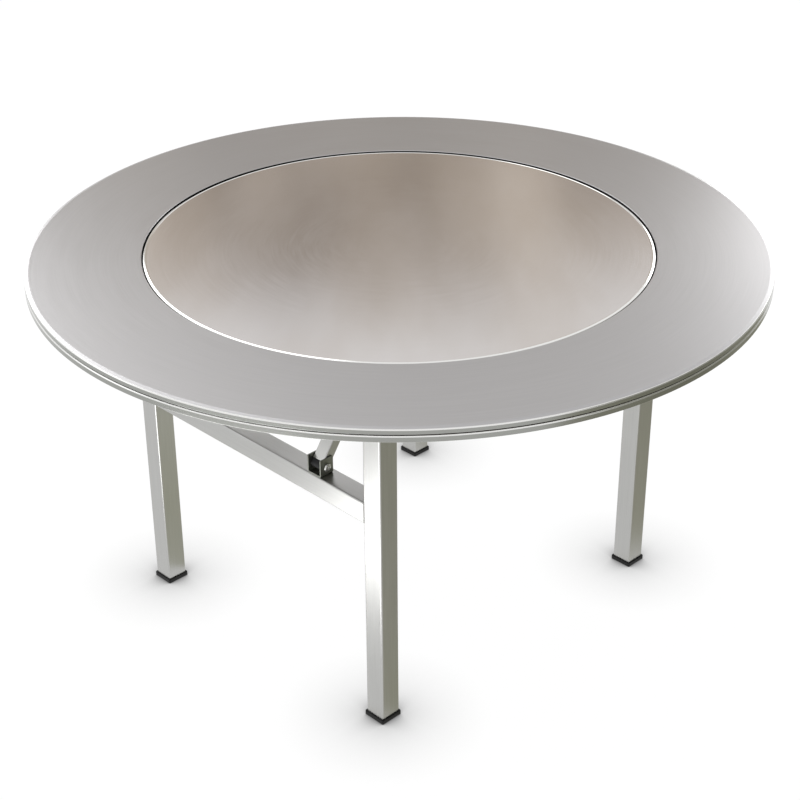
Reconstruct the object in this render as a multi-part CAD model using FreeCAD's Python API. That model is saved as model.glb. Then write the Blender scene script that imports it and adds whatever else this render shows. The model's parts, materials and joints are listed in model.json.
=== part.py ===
import FreeCAD, Part
import math
import os

# Round dining table in stainless steel with a turntable let into the middle of its top.
# Two leg frames fold inwards under the top, each held upright by a pair of knee braces.
# Millimetres, +Z up, the origin on the floor below the centre of the top.
# The left frame stands at -X and the right one at +X; front is -Y and rear is +Y.

# Fixed ring of the top: a skin over a board, closed from below by a pan
table_height = 742.0
ring_width = 215.0
sheet_thickness = 1.2
upper_bead_height = 10.4
rim_groove_height = 2.4
lower_bead_height = 11.4
rim_slope_width = 9.0
rim_slope_drop = 2.2
rim_slope_blend = 24.0
rim_corner = 2.5
bead_corner = 1.6
lower_bead_shoulder = 3.0
rim_lip_width = 9.0
well_edge_roll = 3.0
board_clearance = 0.3

# Turntable
turntable_diameter = 961.2
turntable_gap = 4.4
turntable_sink = 2.2
turntable_depth = 10.0
turntable_bevel_width = 5.5
turntable_bevel_drop = 0.9
turntable_bevel_blend = 12.0
turntable_edge_roll = 2.0
turntable_lip_width = 12.0

# Ball bearing of the turntable
bearing_pitch_diameter = 440.0
bearing_ring_width = 20.0
bearing_ring_height = 9.0
bearing_ring_gap = 4.4
ball_diameter = 6.0
ball_count = 24
ball_clearance = 0.05
cage_thickness = 2.6
cage_height = 7.4
pocket_clearance = 0.1
ring_screw_turns = (60.0, 120.0, 240.0, 300.0)
ring_screw_diameter = 4.0
ring_screw_head_diameter = 7.6
ring_screw_head_height = 2.4
ring_screw_bite = 6.0
ring_nut_width = 7.0
ring_nut_height = 3.2

# Tube frame under the pan
rail_margin = 1.2
rail_height = 20.0
rail_wall = 1.5
rail_corner = 3.0
rail_overhang = 70.0
cross_rail_width = 40.0

# Legs, crossbars and feet
leg_spacing_x = 720.0
leg_spacing_y = 635.0
leg_width = 42.5
leg_wall = 1.5
leg_corner = 3.0
foot_overhang = 2.75
foot_height = 9.0
foot_corner = 3.0
foot_edge = 1.2
foot_insert_length = 26.0
insert_fin_depth = 2.8
insert_fin_thickness = 2.0
insert_fin_count = 3
insert_clearance = 0.2
leg_plug_height = 3.0
leg_plug_insert_length = 6.0
leg_plug_gap = 1.95

# Leg hinges under the rails
hinge_bolt_diameter = 10.0
hinge_head_diameter = 18.0
hinge_head_height = 5.5
hinge_nut_width = 17.0
hinge_nut_height = 8.0
hinge_bush_wall = 2.0
hinge_bracket_depth = 44.0
hinge_ear_below_axis = 20.0
hinge_ear_corner = 17.0
hinge_side_gap = 0.8
bracket_thickness = 2.5
bracket_bend = 4.0
leg_swing_gap = 8.1
fold_clearance = 3.5
riser_wall = 2.0
bracket_screw_diameter = 6.0
bracket_screw_head_diameter = 11.0
bracket_screw_head_height = 3.2
bracket_screw_spacing = 24.0
bracket_nut_width = 10.0
bracket_nut_height = 5.0

# Brace brackets on the crossbars
brace_offset = 167.5
brace_angle = 55.0
brace_length = 240.9
brace_pin_rise = 17.0
brace_pin_setback = 4.0
brace_side_gap = 0.8
brace_bracket_depth = 30.0
brace_bracket_height = 35.0
brace_ear_corner = 2.0
brace_bolt_diameter = 8.0
brace_head_diameter = 15.0
brace_head_height = 4.5
brace_nut_width = 13.0
brace_nut_height = 6.5

# Lower brace links: a tube on a plastic plug
brace_width = 28.0
brace_depth = 20.0
brace_wall = 1.5
brace_corner = 2.0
brace_plug_margin = 1.5
brace_plug_insert_length = 28.0
brace_plug_edge = 1.0
brace_stub = 14.0
brace_end_gap = 0.6

# Upper brace links: yokes on one rod
brace_pivot_drop = 18.0
yoke_thickness = 3.0
yoke_bend = 3.6
yoke_side_gap = 0.8
yoke_web_gap = 0.5
yoke_margin = 1.0
yoke_above = 8.0
yoke_end_corner = 7.0
yoke_web_setback = 20.0
yoke_web_length = 18.0
knee_rivet_diameter = 8.0
knee_rivet_head_diameter = 14.0
knee_rivet_head_height = 3.0
brace_rod_diameter = 10.0
brace_rod_head_diameter = 16.0
brace_rod_head_height = 4.0
anchor_depth = 36.0
anchor_ear_below_pivot = 11.0
anchor_ear_corner = 9.0
anchor_side_gap = 0.5

# Fits and the overrun that every cut shares
running_clearance = 0.05
screw_clearance = 0.2
head_gap = 0.3
bolt_dome_share = 0.6
cut_overrun = 5.0
join_tolerance = 0.000001

# Places worked out from the sizes above
Vector = FreeCAD.Vector
turntable_radius = turntable_diameter / 2
well_radius = turntable_radius + turntable_gap
table_radius = well_radius + ring_width
rim_depth = upper_bead_height + rim_groove_height + lower_bead_height
pan_bottom = table_height - rim_depth
pan_floor = pan_bottom + sheet_thickness
turntable_top = table_height - turntable_sink
turntable_bottom = turntable_top - turntable_depth
turntable_seat = turntable_bottom + sheet_thickness
bearing_radius = bearing_pitch_diameter / 2
ball_height = (pan_floor + turntable_seat) / 2
base_ring_screw_radius = bearing_radius + (bearing_ring_gap + bearing_ring_width) / 2
top_ring_screw_radius = bearing_radius - (bearing_ring_gap + bearing_ring_width) / 2
rail_bottom = pan_bottom - rail_height
leg_x = leg_spacing_x / 2
leg_y = leg_spacing_y / 2
foot_width = leg_width + 2 * foot_overhang
hinge_bush_diameter = hinge_bolt_diameter + 2 * (running_clearance + hinge_bush_wall)
leg_above_hinge = hinge_bush_diameter / 2 + leg_plug_gap + leg_plug_insert_length + leg_plug_height
leg_swing = math.hypot(leg_width / 2, leg_above_hinge)
hinge_drop = bracket_thickness + leg_swing_gap + leg_swing
riser_height = leg_width / 2 + foot_width / 2 + fold_clearance
hinge_heights = {"left": rail_bottom - hinge_drop, "right": rail_bottom - riser_height - hinge_drop}
hinge_bracket_width = leg_width + 2 * (hinge_side_gap + bracket_thickness)
rail_width = hinge_bracket_width + 2 * rail_margin
brace_slope = math.radians(brace_angle)
brace_pivot_height = rail_bottom - brace_pivot_drop
brace_pin_height = brace_pivot_height - brace_length * math.sin(brace_slope)
brace_pin_x = leg_x + brace_pin_setback
brace_pivot_x = brace_pin_x - brace_length * math.cos(brace_slope)
crossbar_top = brace_pin_height - brace_pin_rise
crossbar_height = crossbar_top - leg_width / 2
brace_bracket_width = brace_width + 2 * (brace_side_gap + bracket_thickness)
brace_plug_shoulder = brace_bolt_diameter / 2 + brace_plug_margin
brace_tube_start = brace_plug_shoulder + brace_end_gap
yoke_below = brace_depth / 2 + yoke_margin
yoke_width = brace_width + 2 * (yoke_side_gap + yoke_thickness)
yoke_top = brace_depth / 2 + yoke_web_gap + yoke_thickness
anchor_width = yoke_width + 2 * (anchor_side_gap + bracket_thickness)
sides = ("left", "right")
ends = ("front", "rear")


def knee_links(side):
    """Lower and upper link lengths of a brace: in line while the legs stand, and with the
    lower link level once they are folded by a quarter turn."""
    pin_below_hinge = hinge_heights[side] - brace_pin_height
    pivot_inward = leg_x - brace_pivot_x
    ahead = pin_below_hinge - pivot_inward
    above = brace_pivot_height - (hinge_heights[side] - brace_pin_setback)
    lower = (brace_length ** 2 - ahead ** 2 - above ** 2) / (2 * (brace_length - ahead))
    return lower, brace_length - lower


def in_xy(point):
    """Level plane."""
    return Vector(point.x, point.y, 0)


def in_yz(point):
    """Plane across the table's width."""
    return Vector(0, point.x, point.y)


def in_xz(point):
    """Upright plane along the table's length, also for turned profiles of radius and height."""
    return Vector(point.x, 0, point.y)


def corner_arc(before, corner, after, radius):
    """Start, middle and end of the tangent arc that rounds a corner."""
    back = (before - corner).normalize()
    ahead = (after - corner).normalize()
    half_angle = back.getAngle(ahead) / 2
    reach = radius / math.tan(half_angle)
    nearest = radius / math.sin(half_angle) - radius
    bisector = (back + ahead).normalize()
    return corner + back * reach, corner + bisector * nearest, corner + ahead * reach


def outline_face(corners, plane):
    """Face inside a closed outline of (a, b, radius) corners."""
    points = [Vector(a, b, 0) for a, b, radius in corners]
    arcs = []
    for index, (a, b, radius) in enumerate(corners):
        here = points[index]
        arc = (here, here, here)
        if radius > 0:
            arc = corner_arc(points[index - 1], here, points[(index + 1) % len(points)], radius)
        arcs.append(arc)
    edges = []
    for index, (start, middle, end) in enumerate(arcs):
        if corners[index][2] > 0:
            edges.append(Part.Arc(plane(start), plane(middle), plane(end)).toShape())
        next_start = arcs[(index + 1) % len(arcs)][0]
        if end.distanceToPoint(next_start) > join_tolerance:
            edges.append(Part.LineSegment(plane(end), plane(next_start)).toShape())
    return Part.Face(Part.Wire(edges))


def sheet_face(path, thickness, plane):
    """Section of bent sheet: the (a, b, bend) path is its outer side and turns only to the
    right, where the thickness lies."""
    points = [Vector(a, b, 0) for a, b, bend in path]
    rights = []
    for start, end in zip(points, points[1:]):
        ahead = (end - start).normalize()
        rights.append(Vector(ahead.y, -ahead.x, 0))
    inner = []
    for index, point in enumerate(points):
        first = rights[max(index - 1, 0)]
        second = rights[min(index, len(rights) - 1)]
        offset = (first + second) * (thickness / (1 + first.dot(second)))
        inner.append((point.x + offset.x, point.y + offset.y, max(path[index][2] - thickness, 0)))
    return outline_face(list(path) + inner[::-1], plane)


def turned(face):
    """Solid of revolution about the vertical axis."""
    return face.revolve(Vector(0, 0, 0), Vector(0, 0, 1), 360)


def ring(inner_radius, outer_radius, bottom, top):
    """Plain ring about the vertical axis."""
    corners = [
        (inner_radius, bottom, 0), (outer_radius, bottom, 0),
        (outer_radius, top, 0), (inner_radius, top, 0),
    ]
    return turned(outline_face(corners, in_xz))


def rectangle(width, height, corner):
    """Corners of a rounded rectangle about the origin."""
    a = width / 2
    b = height / 2
    return [(-a, -b, corner), (a, -b, corner), (a, b, corner), (-a, b, corner)]


def tube(width, height, wall, corner, plane, start, run):
    """Rectangular tube whose section is carried from a start point along a run."""
    outer = outline_face(rectangle(width, height, corner), plane).extrude(run)
    bore = outline_face(rectangle(width - 2 * wall, height - 2 * wall, corner - wall), plane).extrude(run)
    shape = outer.cut(bore)
    shape.translate(start)
    return shape


def bar_y(diameter, x, z, low, high):
    """Round bar, or the tool for a cross hole, along Y."""
    return Part.makeCylinder(diameter / 2, high - low, Vector(x, low, z), Vector(0, 1, 0))


def bar_z(diameter, x, y, low, high):
    """Round bar, or the tool for an upright hole, along Z."""
    return Part.makeCylinder(diameter / 2, high - low, Vector(x, y, low), Vector(0, 0, 1))


def bolt(diameter, length, head_diameter, head_height):
    """Button-headed bolt along Z, with the underside of its head at the origin."""
    shank = diameter / 2
    head = head_diameter / 2
    corners = [
        (0, -length, 0), (shank, -length, 0), (shank, 0, 0), (head, 0, 0),
        (head, head_height, head_height * bolt_dome_share), (0, head_height, 0),
    ]
    return turned(outline_face(corners, in_xz))


def nut(width, height, bore):
    """Hexagon nut along Z, with its lower face at the origin."""
    hexagon = Part.makePolygon([
        Vector(width / math.sqrt(3) * math.cos(math.radians(60 * step)),
               width / math.sqrt(3) * math.sin(math.radians(60 * step)), 0)
        for step in range(7)
    ])
    body = Part.Face(hexagon).extrude(Vector(0, 0, height))
    return body.cut(bar_z(bore, 0, 0, -cut_overrun, height + cut_overrun))


def u_bracket(width, height, depth, bend, ear_corner):
    """Bent U-bracket: the outside of its base at the origin, its ears hanging down across Y."""
    path = [(-width / 2, -height, 0), (-width / 2, 0, bend), (width / 2, 0, bend), (width / 2, -height, 0)]
    bent = sheet_face(path, bracket_thickness, in_yz).extrude(Vector(depth, 0, 0))
    bent.translate(Vector(-depth / 2, 0, 0))
    side = [
        (-depth / 2, 0, 0), (-depth / 2, -height, ear_corner),
        (depth / 2, -height, ear_corner), (depth / 2, 0, 0),
    ]
    trim = outline_face(side, in_xz).extrude(Vector(0, width, 0))
    trim.translate(Vector(0, -width / 2, 0))
    return bent.common(trim)


def cross_bolt(diameter, grip, head_diameter, head_height, nut_width, nut_height):
    """Bolt and nut along Y: the head on the -Y side, the grip centred on the origin."""
    length = grip + 2 * head_gap + nut_height
    shank = bolt(diameter, length, head_diameter, head_height)
    lock = nut(nut_width, nut_height, diameter + 2 * running_clearance)
    lock.translate(Vector(0, 0, -length))
    pair = Part.makeCompound([shank, lock])
    pair.rotate(Vector(0, 0, 0), Vector(1, 0, 0), 90)
    pair.translate(Vector(0, -grip / 2 - head_gap, 0))
    return pair


def tube_plug(flange_width, flange_height, flange_corner, insert_length, fin_count):
    """Plastic tube end: a flange that stands on the origin, with a finned insert above it."""
    flange = outline_face(rectangle(flange_width, flange_width, flange_corner), in_xy)
    flange = flange.extrude(Vector(0, 0, flange_height))
    level = [edge for edge in flange.Edges if edge.BoundBox.ZLength < join_tolerance]
    flange = flange.makeFillet(min(foot_edge, flange_height / 3), level)
    fin_width = leg_width - 2 * (leg_wall + insert_clearance)
    core_width = fin_width - 2 * insert_fin_depth
    core = outline_face(rectangle(core_width, core_width, flange_corner), in_xy)
    plug = flange.fuse(core.extrude(Vector(0, 0, flange_height + insert_length)))
    fin = outline_face(rectangle(fin_width, fin_width, leg_corner), in_xy)
    fin = fin.extrude(Vector(0, 0, insert_fin_thickness))
    step = insert_length / fin_count
    for index in range(fin_count):
        copy = fin.copy()
        copy.translate(Vector(0, 0, flange_height + step * (index + 1) - insert_fin_thickness))
        plug = plug.fuse(copy)
    return plug.removeSplitter()


def top_ring_skin():
    """Skin of the fixed ring: the well's wall, the flat top, its sloped edge and the bead's lip."""
    bead_bottom = table_height - upper_bead_height
    path = [
        (well_radius, pan_floor, 0),
        (well_radius, table_height, well_edge_roll),
        (table_radius - rim_slope_width, table_height, rim_slope_blend),
        (table_radius, table_height - rim_slope_drop, rim_corner),
        (table_radius, bead_bottom, bead_corner),
        (table_radius - rim_lip_width, bead_bottom, 0),
    ]
    return turned(sheet_face(path, sheet_thickness, in_xz))


def ring_core_board():
    """Board between the ring's skin and the pan, bevelled under both of the skin's bent edges."""
    inner = well_radius + sheet_thickness + board_clearance
    outer = table_radius - rim_lip_width - board_clearance
    top = table_height - sheet_thickness
    corners = [
        (inner, pan_floor, 0), (outer, pan_floor, 0), (outer, top - rim_slope_drop, 0),
        (outer - rim_slope_width, top, 0), (inner + well_edge_roll, top, 0), (inner, top - well_edge_roll, 0),
    ]
    return turned(outline_face(corners, in_xz))


def bearing_screw_places(radius):
    """Places of a bearing ring's screws on their circle."""
    for turn in ring_screw_turns:
        angle = math.radians(turn)
        yield radius * math.cos(angle), radius * math.sin(angle)


def bottom_pan():
    """Pan below the top: the lower bead's lip and face, and the whole underside."""
    lip_top = pan_bottom + lower_bead_height
    path = [
        (table_radius - rim_lip_width, lip_top, 0),
        (table_radius, lip_top, lower_bead_shoulder),
        (table_radius, pan_bottom, bead_corner),
        (0, pan_bottom, 0),
    ]
    pan = turned(sheet_face(path, sheet_thickness, in_xz))
    hole = ring_screw_diameter + 2 * screw_clearance
    for x, y in bearing_screw_places(base_ring_screw_radius):
        pan = pan.cut(bar_z(hole, x, y, pan_bottom - cut_overrun, pan_floor + cut_overrun))
    return pan


def turntable_skin():
    """Polished skin of the turntable, bevelled and rolled over at its edge."""
    path = [
        (0, turntable_top, 0),
        (turntable_radius - turntable_bevel_width, turntable_top, turntable_bevel_blend),
        (turntable_radius, turntable_top - turntable_bevel_drop, turntable_edge_roll),
        (turntable_radius, turntable_bottom, bead_corner),
        (turntable_radius - turntable_lip_width, turntable_bottom, 0),
    ]
    return turned(sheet_face(path, sheet_thickness, in_xz))


def turntable_core():
    """Board inside the turntable, with pilot holes for the bearing's screws."""
    radius = turntable_radius - turntable_bevel_width - turntable_edge_roll
    corners = [
        (0, turntable_seat, 0), (radius, turntable_seat, 0),
        (radius, turntable_top - sheet_thickness, 0), (0, turntable_top - sheet_thickness, 0),
    ]
    board = turned(outline_face(corners, in_xz))
    pilot = ring_screw_diameter + 2 * running_clearance
    for x, y in bearing_screw_places(top_ring_screw_radius):
        board = board.cut(bar_z(pilot, x, y, turntable_seat - cut_overrun, turntable_seat + ring_screw_bite))
    return board


def ball_track():
    """Torus that cuts the balls' track into both bearing rings."""
    return Part.makeTorus(bearing_radius, ball_diameter / 2 + ball_clearance, Vector(0, 0, ball_height))


def bearing_base_ring():
    """Outer bearing ring, screwed down on the pan."""
    inner = bearing_radius + bearing_ring_gap / 2
    top = pan_floor + bearing_ring_height
    shape = ring(inner, inner + bearing_ring_width, pan_floor, top).cut(ball_track())
    for x, y in bearing_screw_places(base_ring_screw_radius):
        hole = bar_z(ring_screw_diameter + 2 * screw_clearance, x, y, pan_floor - cut_overrun, top)
        recess_floor = top - ring_screw_head_height
        recess_width = ring_screw_head_diameter + 2 * screw_clearance
        recess = bar_z(recess_width, x, y, recess_floor, top + cut_overrun)
        shape = shape.cut(hole).cut(recess)
    return shape


def bearing_top_ring():
    """Inner bearing ring, screwed up under the turntable."""
    outer = bearing_radius - bearing_ring_gap / 2
    bottom = turntable_seat - bearing_ring_height
    shape = ring(outer - bearing_ring_width, outer, bottom, turntable_seat).cut(ball_track())
    for x, y in bearing_screw_places(top_ring_screw_radius):
        hole = bar_z(ring_screw_diameter + 2 * screw_clearance, x, y, bottom, turntable_seat + cut_overrun)
        recess_ceiling = bottom + ring_screw_head_height
        recess_width = ring_screw_head_diameter + 2 * screw_clearance
        recess = bar_z(recess_width, x, y, bottom - cut_overrun, recess_ceiling)
        shape = shape.cut(hole).cut(recess)
    return shape


def bearing_base_screws():
    """Screws down through the base ring and the pan, with nuts under the pan."""
    seat = pan_floor + bearing_ring_height - ring_screw_head_height
    length = seat - pan_bottom + ring_nut_height
    solids = []
    for x, y in bearing_screw_places(base_ring_screw_radius):
        screw = bolt(ring_screw_diameter, length, ring_screw_head_diameter, ring_screw_head_height)
        screw.translate(Vector(x, y, seat))
        lock = nut(ring_nut_width, ring_nut_height, ring_screw_diameter + 2 * running_clearance)
        lock.translate(Vector(x, y, pan_bottom - ring_nut_height))
        solids += [screw, lock]
    return Part.makeCompound(solids)


def bearing_top_screws():
    """Screws up through the top ring into the turntable's board."""
    seat = turntable_seat - bearing_ring_height + ring_screw_head_height
    length = turntable_seat - seat + ring_screw_bite - head_gap
    solids = []
    for x, y in bearing_screw_places(top_ring_screw_radius):
        screw = bolt(ring_screw_diameter, length, ring_screw_head_diameter, ring_screw_head_height)
        screw.rotate(Vector(0, 0, 0), Vector(1, 0, 0), 180)
        screw.translate(Vector(x, y, seat))
        solids.append(screw)
    return Part.makeCompound(solids)


def ball_angles():
    """Headings of the balls round the bearing, in degrees."""
    return [360 * index / ball_count for index in range(ball_count)]


def bearing_balls():
    """Balls of the bearing."""
    solids = []
    for angle in ball_angles():
        heading = math.radians(angle)
        centre = Vector(bearing_radius * math.cos(heading), bearing_radius * math.sin(heading), ball_height)
        solids.append(Part.makeSphere(ball_diameter / 2, centre))
    return Part.makeCompound(solids)


def ball_cage():
    """Plastic band that spaces the balls, with a pocket for each."""
    half = cage_thickness / 2
    bottom = ball_height - cage_height / 2
    band = ring(bearing_radius - half, bearing_radius + half, bottom, bottom + cage_height)
    pocket_radius = ball_diameter / 2 + pocket_clearance
    reach = half + cut_overrun
    pockets = []
    for angle in ball_angles():
        heading = math.radians(angle)
        outward = Vector(math.cos(heading), math.sin(heading), 0)
        start = outward * (bearing_radius - reach) + Vector(0, 0, ball_height)
        pockets.append(Part.makeCylinder(pocket_radius, 2 * reach, start, outward))
    return band.cut(pockets)


def long_rail():
    """Front rail along X under the pan, drilled for the hinge brackets' screws."""
    length = leg_spacing_x + 2 * rail_overhang
    start = Vector(-length / 2, -leg_y, pan_bottom - rail_height / 2)
    shape = tube(rail_width, rail_height, rail_wall, rail_corner, in_yz, start, Vector(length, 0, 0))
    for x in bracket_screw_places(-leg_x):
        hole = bracket_screw_diameter + 2 * screw_clearance
        shape = shape.cut(bar_z(hole, x, -leg_y, rail_bottom - cut_overrun, rail_bottom + rail_height / 2))
    return shape


def cross_rail():
    """Left rail along Y between the long rails, above the brace pivots."""
    length = leg_spacing_y - rail_width
    start = Vector(-brace_pivot_x, -length / 2, pan_bottom - rail_height / 2)
    return tube(cross_rail_width, rail_height, rail_wall, rail_corner, in_xz, start, Vector(0, length, 0))


def bracket_screw_places(x):
    """X places of a hinge bracket's two screws."""
    return (x - bracket_screw_spacing / 2, x + bracket_screw_spacing / 2)


def bracket_base(side):
    """Height of the seat of a side's hinge brackets."""
    return hinge_heights[side] + hinge_drop


def hinge_riser():
    """Short box section that lowers a hinge of the frame that folds second."""
    start = Vector(-leg_x - hinge_bracket_depth / 2, -leg_y, rail_bottom - riser_height / 2)
    run = Vector(hinge_bracket_depth, 0, 0)
    shape = tube(rail_width, riser_height, riser_wall, rail_corner, in_yz, start, run)
    seat = bracket_base("right")
    for x in bracket_screw_places(-leg_x):
        hole = bracket_screw_diameter + 2 * screw_clearance
        shape = shape.cut(bar_z(hole, x, -leg_y, seat - cut_overrun, seat + riser_height / 2))
    return shape


def hinge_bracket(side):
    """U-bracket that carries a leg's hinge bolt."""
    height = hinge_drop + hinge_ear_below_axis
    shape = u_bracket(hinge_bracket_width, height, hinge_bracket_depth, bracket_bend, hinge_ear_corner)
    shape.translate(Vector(-leg_x, -leg_y, bracket_base(side)))
    reach = hinge_bracket_width / 2 + cut_overrun
    hole = hinge_bolt_diameter + 2 * running_clearance
    shape = shape.cut(bar_y(hole, -leg_x, hinge_heights[side], -leg_y - reach, -leg_y + reach))
    for x in bracket_screw_places(-leg_x):
        hole = bracket_screw_diameter + 2 * screw_clearance
        low = bracket_base(side) - bracket_thickness - cut_overrun
        shape = shape.cut(bar_z(hole, x, -leg_y, low, bracket_base(side) + cut_overrun))
    return shape


def hinge_bolt(side):
    """Hinge bolt and nut through a bracket and a leg."""
    pair = cross_bolt(hinge_bolt_diameter, hinge_bracket_width, hinge_head_diameter, hinge_head_height,
                      hinge_nut_width, hinge_nut_height)
    pair.translate(Vector(-leg_x, -leg_y, hinge_heights[side]))
    return pair


def bracket_screws(side):
    """Screws and nuts that hold a hinge bracket to the tube above it."""
    wall = {"left": rail_wall, "right": riser_wall}[side]
    seat = bracket_base(side) - bracket_thickness
    length = bracket_thickness + wall + bracket_nut_height
    solids = []
    for x in bracket_screw_places(-leg_x):
        screw = bolt(bracket_screw_diameter, length, bracket_screw_head_diameter, bracket_screw_head_height)
        screw.rotate(Vector(0, 0, 0), Vector(1, 0, 0), 180)
        screw.translate(Vector(x, -leg_y, seat))
        lock = nut(bracket_nut_width, bracket_nut_height, bracket_screw_diameter + 2 * running_clearance)
        lock.translate(Vector(x, -leg_y, bracket_base(side) + wall))
        solids += [screw, lock]
    return Part.makeCompound(solids)


def leg(side):
    """Front leg tube, bored for its hinge bush."""
    length = hinge_heights[side] + leg_above_hinge - leg_plug_height - foot_height
    start = Vector(-leg_x, -leg_y, foot_height)
    shape = tube(leg_width, leg_width, leg_wall, leg_corner, in_xy, start, Vector(0, 0, length))
    reach = leg_width / 2 + cut_overrun
    hole = hinge_bush_diameter + 2 * running_clearance
    return shape.cut(bar_y(hole, -leg_x, hinge_heights[side], -leg_y - reach, -leg_y + reach))


def hinge_bush(side):
    """Steel bush across a leg, round its hinge bolt."""
    low = -leg_y - leg_width / 2
    outer = bar_y(hinge_bush_diameter, -leg_x, hinge_heights[side], low, low + leg_width)
    hole = hinge_bolt_diameter + 2 * running_clearance
    bore = bar_y(hole, -leg_x, hinge_heights[side], low - cut_overrun, low + leg_width + cut_overrun)
    return outer.cut(bore)


def leg_plug(side):
    """Plug in a leg's upper end."""
    shape = tube_plug(leg_width, leg_plug_height, leg_corner, leg_plug_insert_length, 1)
    shape.rotate(Vector(0, 0, 0), Vector(1, 0, 0), 180)
    shape.translate(Vector(-leg_x, -leg_y, hinge_heights[side] + leg_above_hinge))
    return shape


def foot():
    """Black plastic foot under a leg."""
    shape = tube_plug(foot_width, foot_height, foot_corner, foot_insert_length, insert_fin_count)
    shape.translate(Vector(-leg_x, -leg_y, 0))
    return shape


def crossbar():
    """Square tube between the two legs of a frame."""
    length = leg_spacing_y - leg_width
    start = Vector(-leg_x, -length / 2, crossbar_height)
    return tube(leg_width, leg_width, leg_wall, leg_corner, in_xz, start, Vector(0, length, 0))


def brace_bracket():
    """U-bracket welded on a crossbar, ears up."""
    shape = u_bracket(brace_bracket_width, brace_bracket_height, brace_bracket_depth,
                      bracket_bend, brace_ear_corner)
    shape.rotate(Vector(0, 0, 0), Vector(1, 0, 0), 180)
    shape.translate(Vector(-brace_pin_x, -brace_offset, crossbar_top))
    reach = brace_bracket_width / 2 + cut_overrun
    hole = brace_bolt_diameter + 2 * running_clearance
    bore = bar_y(hole, -brace_pin_x, brace_pin_height, -brace_offset - reach, -brace_offset + reach)
    return shape.cut(bore)


def brace_bolt():
    """Bolt and nut across a brace bracket."""
    pair = cross_bolt(brace_bolt_diameter, brace_bracket_width, brace_head_diameter, brace_head_height,
                      brace_nut_width, brace_nut_height)
    pair.translate(Vector(-brace_pin_x, -brace_offset, brace_pin_height))
    return pair


def raise_brace(shape):
    """Turn a piece drawn along X from the brace's pin into its sloping place."""
    shape.rotate(Vector(0, 0, 0), Vector(0, -1, 0), brace_angle)
    shape.translate(Vector(-brace_pin_x, -brace_offset, brace_pin_height))
    return shape


def brace_plug():
    """Plastic plug: a rounded nose between the bracket's ears, and an insert in the tube."""
    nose_width = brace_bracket_width - 2 * (bracket_thickness + head_gap)
    nose_radius = brace_depth / 2
    side_view = [
        (brace_plug_shoulder, -nose_radius, 0), (brace_plug_shoulder, nose_radius, 0),
        (-nose_radius, nose_radius, nose_radius), (-nose_radius, -nose_radius, nose_radius),
    ]
    nose = outline_face(side_view, in_xz).extrude(Vector(0, nose_width, 0))
    nose.translate(Vector(0, -nose_width / 2, 0))
    rims = [edge for edge in nose.Edges if edge.BoundBox.YLength < join_tolerance]
    nose = nose.makeFillet(brace_plug_edge, rims)
    insert_width = brace_width - 2 * (brace_wall + insert_clearance)
    insert_depth = brace_depth - 2 * (brace_wall + insert_clearance)
    section = outline_face(rectangle(insert_width, insert_depth, brace_corner), in_yz)
    insert = section.extrude(Vector(brace_tube_start + brace_plug_insert_length, 0, 0))
    bore = bar_y(brace_bolt_diameter + 2 * running_clearance, 0, 0, -nose_width, nose_width)
    return raise_brace(nose.fuse(insert).cut(bore))


def brace_tube(side):
    """Lower brace link, from its plug to a short stub past the knee."""
    lower, upper = knee_links(side)
    start = Vector(brace_tube_start, 0, 0)
    run = Vector(lower + brace_stub - brace_tube_start, 0, 0)
    shape = tube(brace_width, brace_depth, brace_wall, brace_corner, in_yz, start, run)
    hole = knee_rivet_diameter + 2 * screw_clearance
    return raise_brace(shape.cut(bar_y(hole, lower, 0, -brace_width, brace_width)))


def knee_yoke(side):
    """Upper brace link: a channel over the knee whose web stops it, cut back to two straps above."""
    lower, upper = knee_links(side)
    web_end = lower - yoke_web_setback
    low_end = web_end - yoke_web_length
    high_end = brace_length + yoke_below
    path = [
        (-yoke_width / 2, -yoke_below, 0), (-yoke_width / 2, yoke_top, yoke_bend),
        (yoke_width / 2, yoke_top, yoke_bend), (yoke_width / 2, -yoke_below, 0),
    ]
    channel = sheet_face(path, yoke_thickness, in_yz).extrude(Vector(high_end - low_end, 0, 0))
    channel.translate(Vector(low_end, 0, 0))
    side_view = [
        (low_end, -yoke_below, yoke_end_corner), (high_end, -yoke_below, yoke_end_corner),
        (high_end, yoke_above, yoke_end_corner), (web_end, yoke_above, 0),
        (web_end, yoke_top, 0), (low_end, yoke_top, 0),
    ]
    trim = outline_face(side_view, in_xz).extrude(Vector(0, yoke_width, 0))
    trim.translate(Vector(0, -yoke_width / 2, 0))
    yoke = channel.common(trim)
    rod_hole = brace_rod_diameter + 2 * running_clearance
    rivet_hole = knee_rivet_diameter + 2 * running_clearance
    yoke = yoke.cut(bar_y(rod_hole, brace_length, 0, -yoke_width, yoke_width))
    return raise_brace(yoke.cut(bar_y(rivet_hole, lower, 0, -yoke_width, yoke_width)))


def knee_rivets(side):
    """Knee rivets of one brace: one in each strap, ending at its inner face."""
    lower, upper = knee_links(side)
    rivet = bolt(knee_rivet_diameter, yoke_thickness, knee_rivet_head_diameter, knee_rivet_head_height)
    rivet.rotate(Vector(0, 0, 0), Vector(1, 0, 0), 90)
    rivet.translate(Vector(lower, -yoke_width / 2, 0))
    pair = [rivet, rivet.mirror(Vector(0, 0, 0), Vector(0, 1, 0))]
    return raise_brace(Part.makeCompound(pair))


def brace_rod():
    """Rod that joins a frame's two yokes and turns in the anchors."""
    half = brace_offset + anchor_width / 2 + head_gap
    rod = bar_y(brace_rod_diameter, -brace_pivot_x, brace_pivot_height, -half, half)
    for low in (-half - brace_rod_head_height, half):
        high = low + brace_rod_head_height
        rod = rod.fuse(bar_y(brace_rod_head_diameter, -brace_pivot_x, brace_pivot_height, low, high))
    return rod


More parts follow.
